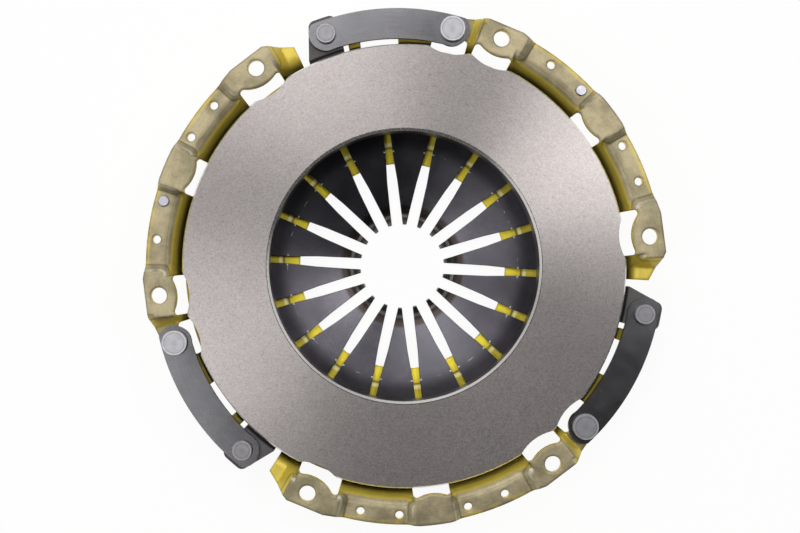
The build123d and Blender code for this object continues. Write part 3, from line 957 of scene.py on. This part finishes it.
@dataclass
class DiaphragmSpring:
    """Slotted disc spring, built as fingers and a rim of separate stretches."""

    thickness: float = 2.8
    rim_r: float = 114.5
    pivot_r: float = 96.0
    pivot_z: float = -31.0
    cone: float = 11.0
    fingers: int = 18
    first_slot_at: float = 10.0
    bend_r: float = 33.5
    roll_r: float = 26.0
    roll_turn: float = 19.0
    tip_slot: float = 3.2
    mid_r: float = 50.0
    mid_slot: float = 3.0
    neck_r: float = 66.0
    neck_slot: float = 2.05
    window_r: float = 3.7
    window_at: float = 91.5
    follow_r: float = 111.0
    rounding: float = 0.35
    columns: int = 8
    tip_rows: int = 8
    straight_rows: int = 5
    window_rows: int = 12
    rim_rows: int = 8
    kept: float = 0.4

    def middle_of(self, finger: int) -> float:
        """Angle in degrees of the middle of a finger, numbered from nought."""
        return self.first_slot_at + 360 / self.fingers * (finger + 0.5)

    def top_point(self, radius: float) -> tuple[float, float, float]:
        """Point of the upper face on the straight cone.

        Args:
            radius: Radius in millimetres.

        Returns:
            The radius, the height and the slope in degrees.
        """
        rise = (radius - self.pivot_r) * tan(radians(self.cone))
        half = self.thickness / 2 / cos(radians(self.cone))
        return radius, self.pivot_z + rise + half, self.cone

    def profile(self) -> list[tuple[float, float, float]]:
        """Rows of a finger's upper face, from its rolled tip to the pivot.

        Returns:
            The radius, the height and the slope in degrees of each row.
        """
        _, bend_z, _ = self.top_point(self.bend_r)
        centre_r = self.bend_r - self.roll_r * sin(radians(self.cone))
        centre_z = bend_z + self.roll_r * cos(radians(self.cone))
        rows = []
        for step in range(self.tip_rows, 0, -1):
            slope = self.cone - self.roll_turn * step / self.tip_rows
            turn = radians(slope)
            radius, height = self.roll_r * sin(turn), self.roll_r * cos(turn)
            rows.append((centre_r + radius, centre_z - height, slope))
        neck_end = self.window_at - sqrt(self.window_r**2 - self.neck_slot**2)
        straights = [self.bend_r, self.mid_r, self.neck_r, neck_end]
        for low, high in zip(straights, straights[1:]):
            for step in range(self.straight_rows):
                rows.append(self.top_point(low + (high - low) * step / self.straight_rows))
        first = asin((neck_end - self.window_at) / self.window_r)
        for step in range(self.window_rows):
            turn = first + (pi / 2 - first) * step / self.window_rows
            rows.append(self.top_point(self.window_at + self.window_r * sin(turn)))
        rows.append(self.top_point(self.window_at + self.window_r))
        rows.append(self.top_point(self.pivot_r))
        return rows

    def half_slot(self, radius: float) -> float:
        """Half width of the slot, with its round window, at a radius.

        Args:
            radius: Radius in millimetres.

        Returns:
            The half width in millimetres.
        """
        window = sqrt(max(self.window_r**2 - (radius - self.window_at) ** 2, 0.0))
        if radius >= self.window_at:
            return window
        knots = [
            (0.0, self.tip_slot),
            (self.bend_r, self.tip_slot),
            (self.mid_r, self.mid_slot),
            (self.neck_r, self.neck_slot),
            (self.pivot_r, self.neck_slot),
        ]
        (low_r, low), (high_r, high) = next(
            pair for pair in zip(knots, knots[1:]) if radius <= pair[1][0]
        )
        return max(low + (high - low) * (radius - low_r) / (high_r - low_r), window)

    def row(self, radius: float, height: float, middle: float) -> list[Vector]:
        """Row of points across one finger.

        Args:
            radius: Radius of the row in millimetres.
            height: Height of the row in millimetres.
            middle: Angle of the finger's middle in degrees.

        Returns:
            The points from one slot to the next.
        """
        half = 180 / self.fingers - degrees(asin(self.half_slot(radius) / radius))
        return [
            polar(radius, middle + half * (2 * column / self.columns - 1), height)
            for column in range(self.columns + 1)
        ]

    def under(self, radius: float, height: float, slope: float) -> tuple[float, float]:
        """Radius and height of the lower face, square to the upper one at a point."""
        turn = radians(slope)
        return radius + self.thickness * sin(turn), height - self.thickness * cos(turn)

    def finger_disc(self) -> bpy.types.Object:
        """Builds the fingers as far as the pivot.

        Returns:
            The fingers' object.
        """
        work = bmesh.new()
        profile = self.profile()
        window_end = len(profile) - 2
        for finger in range(self.fingers):
            middle = self.middle_of(finger)
            top = [self.row(radius, height, middle) for radius, height, _ in profile]
            under: Grid = []
            for index, (radius, height, slope) in enumerate(profile):
                low_r, low_z = self.under(radius, height, slope)
                # The lower face is moved out a little here, so that its window closes too.
                if index == window_end:
                    low_r = max(low_r, self.window_at + self.window_r)
                under.append(self.row(low_r, low_z, middle))
            add_slab(work, top, under, shared=1)
        return make_piece("spring_fingers", work, self.rounding)

    def rim_sector(self, finger: int) -> bpy.types.Object:
        """Builds one stretch of the rim, outside the pivot.

        Args:
            finger: Number of the finger that it belongs to, from nought.

        Returns:
            The stretch's object.
        """
        middle = self.middle_of(finger)
        top: Grid = []
        under: Grid = []
        for step in range(self.rim_rows + 1):
            along = self.pivot_r + (self.rim_r - self.pivot_r) * step / self.rim_rows
            radius, height, slope = self.top_point(along)
            top.append(self.row(radius, height, middle))
            low_r, low_z = self.under(radius, height, slope)
            under.append(self.row(low_r, low_z, middle))
        work = bmesh.new()
        add_slab(work, top, under)
        return make_piece(f"spring_rim_{finger + 1:02d}", work)

    def build(self) -> None:
        """Builds and dresses the fingers and the rim, and joins the fingers to the cover."""
        steel = TemperedSpring().material()
        disc = self.finger_disc()
        paint(disc, steel)
        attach(disc, Body.COVER.value)
        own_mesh(disc)
        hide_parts("diaphragm_spring")
        log.info("built %s", disc.name)
        for finger in range(self.fingers):
            piece = self.rim_sector(finger)
            paint(piece, steel)
            middle = self.middle_of(finger)
            start = polar(self.pivot_r, middle, self.pivot_z)
            end = polar(self.follow_r, middle, self.pivot_z)
            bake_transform(piece)
            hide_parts("diaphragm_spring")
            log.info("built %s", piece.name)


@dataclass(frozen=True)
class SoftBox:
    """Square lamp that stands beside the part and faces it."""

    name: str
    angle: float
    size_m: float
    power_w: float
    distance_m: float = 0.8
    height_m: float = 1.4


@dataclass
class Studio:
    """Pale floor, soft lights and the camera that looks down the part's axis.

    Angles are degrees in the picture, from its right. The sky's greys run from the side
    away from its bright part to the bright part itself, each with its share of the way.
    Two low cards stand on opposite sides, and fade over the given cosines and heights.
    """

    width_px: int = 800
    height_px: int = 533
    centre_px: tuple[float, float] = (404.55, 266.10)
    vanishing_px: tuple[float, float] = (368.0, 266.4)
    mm_per_px: float = 0.5554
    distance: float = 650.0
    roll: float = 6.86
    sensor: float = 36.0
    clip_start_m: float = 0.01
    boxes: tuple[SoftBox, ...] = (
        SoftBox("right", angle=27, size_m=0.52, power_w=7.6),
        SoftBox("back", angle=114, size_m=0.80, power_w=8.6),
        SoftBox("left", angle=204, size_m=0.74, power_w=7.0),
    )
    sky_at: float = 108.0
    sky_greys: tuple[tuple[float, float], ...] = (
        (0.0, 0.06),
        (0.32, 0.025),
        (0.5, 0.10),
        (0.7, 0.40),
        (1.0, 0.8),
    )
    cards_at: float = 20.0
    card_fade: tuple[float, float] = (0.80, 0.96)
    card_tops: tuple[float, float] = (0.5, 0.25)
    card_colour: Colour = (0.9, 0.9, 0.9)
    paper_colour: Colour = (1.0, 1.0, 1.0)
    floor_colour: Colour = (0.9, 0.9, 0.9)
    floor_half_m: float = 4.0
    floor_show: float = 0.93

    def camera(self) -> None:
        """Sets the camera square to the part, with the lens shifted as the picture's was."""
        focal_px = self.distance / self.mm_per_px
        across = (self.centre_px[0] - self.vanishing_px[0]) * self.mm_per_px
        up = (self.vanishing_px[1] - self.centre_px[1]) * self.mm_per_px
        centre = Vector((across, up, -self.distance)) * MM
        to_frame = Matrix.Rotation(radians(-self.roll), 3, "Z")
        data = bpy.data.cameras.new("camera")
        data.sensor_width = self.sensor
        data.lens = self.sensor * focal_px / self.width_px
        data.shift_x = (self.width_px / 2 - self.vanishing_px[0]) / self.width_px
        data.shift_y = (self.vanishing_px[1] - self.height_px / 2) / self.width_px
        data.clip_start = self.clip_start_m
        camera = bpy.data.objects.new("camera", data)
        camera.matrix_world = Matrix.Translation(-(to_frame @ centre)) @ to_frame.to_4x4()
        bpy.context.scene.collection.objects.link(camera)
        bpy.context.scene.camera = camera

    def in_picture(self, angle: float, distance: float, height: float) -> Vector:
        """Point beside the part, at an angle as the picture shows it.

        Args:
            angle: Angle in the picture in degrees, from its right.
            distance: Distance from the axis in metres.
            height: Height in metres.

        Returns:
            The point in the frame.
        """
        turn = radians(angle - self.roll)
        return Vector((distance * cos(turn), distance * sin(turn), height))

    def lamp(self, box: SoftBox) -> None:
        """Adds one lamp.

        Args:
            box: The soft box, with its place.
        """
        data = bpy.data.lights.new(box.name, "AREA")
        data.size = box.size_m
        data.energy = box.power_w
        lamp = bpy.data.objects.new(box.name, data)
        place = self.in_picture(box.angle, box.distance_m, box.height_m)
        lamp.location = place
        lamp.rotation_euler = (-place).to_track_quat("-Z", "Y").to_euler()
        bpy.context.scene.collection.objects.link(lamp)

    def sky(self) -> None:
        """Sets a sky that is bright on one side, with the two low cards in it."""
        world = bpy.data.worlds.new("sky")
        world.use_nodes = True
        bpy.context.scene.world = world
        sky = Graph(world.node_tree)
        x, y, up = sky.axes(sky.coordinates.outputs["Generated"])
        bright = self.in_picture(self.sky_at, 1.0, 0.0)
        lean = x * bright.x + y * bright.y
        stops = [(share, (grey, grey, grey)) for share, grey in self.sky_greys]
        ramp = sky.node("ShaderNodeValToRGB", {"stops": stops}, {0: lean * 0.5 + 0.5})
        side = self.in_picture(self.cards_at, 1.0, 0.0)
        cards = abs(x * side.x + y * side.y).rise(*self.card_fade) * up.rise(*self.card_tops)
        glow = sky.mix(cards, ramp.outputs[0], self.card_colour)
        light = sky.node("ShaderNodeBackground", inputs={0: glow, 1: 1.0})
        paper = sky.node("ShaderNodeBackground", inputs={0: self.paper_colour, 1: 1.0})
        rays = sky.node("ShaderNodeLightPath")
        mixed = sky.node(
            "ShaderNodeMixShader",
            inputs={0: rays.outputs["Is Camera Ray"], 1: light.outputs[0], 2: paper.outputs[0]},
        )
        sky.node("ShaderNodeOutputWorld", inputs={"Surface": mixed.outputs[0]})

    def floor(self, level: float) -> None:
        """Lays the floor under the part.

        Args:
            level: Height of the floor in metres.
        """
        half = self.floor_half_m
        mesh = bpy.data.meshes.new("floor")
        sides = ((-half, -half), (half, -half), (half, half), (-half, half))
        mesh.from_pydata([(x, y, level) for x, y in sides], [], [(0, 1, 2, 3)])
        floor = bpy.data.objects.new("floor", mesh)
        bpy.context.scene.collection.objects.link(floor)
        s = Surface("paper_floor")
        rays = s.node("ShaderNodeLightPath")
        seen = s.signal(rays, "Is Camera Ray") + s.signal(rays, "Is Glossy Ray")
        seen = seen + s.signal(rays, "Is Transmission Ray")
        matt = s.node("ShaderNodeBsdfDiffuse", inputs={"Color": self.floor_colour})
        bright = {"Color": self.paper_colour, "Strength": 1.0}
        glow = s.node("ShaderNodeEmission", inputs=bright)
        share = seen.rise(0.0, 1.0) * self.floor_show
        mixed = s.node(
            "ShaderNodeMixShader", inputs={0: share, 1: matt.outputs[0], 2: glow.outputs[0]}
        )
        s.node("ShaderNodeOutputMaterial", inputs={"Surface": mixed.outputs[0]})
        paint(floor, s.material)
        floor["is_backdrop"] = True

    def build(self, level: float) -> None:
        """Sets the whole studio.

        Args:
            level: Height of the floor in metres.
        """
        self.camera()
        for box in self.boxes:
            self.lamp(box)
        self.sky()
        self.floor(level)
        bpy.context.scene.view_settings.view_transform = "Standard"


def as_lists(box: Sequence[Sequence[float]]) -> list[list[float]]:
    """Box corners as plain lists of numbers."""
    return [[float(value) for value in corner] for corner in box]


def main() -> None:
    """Builds the dressed part and its studio."""
    logging.basicConfig(level=logging.INFO, format="%(name)s: %(message)s")
    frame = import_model()
    packed = as_lists(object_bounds())
    RigidPieces(frame["nodes"]).dress()
    DriveStraps().build()
    DiaphragmSpring().build()
    Studio().build(packed[0][2])


if __name__ == "__main__":
    main()
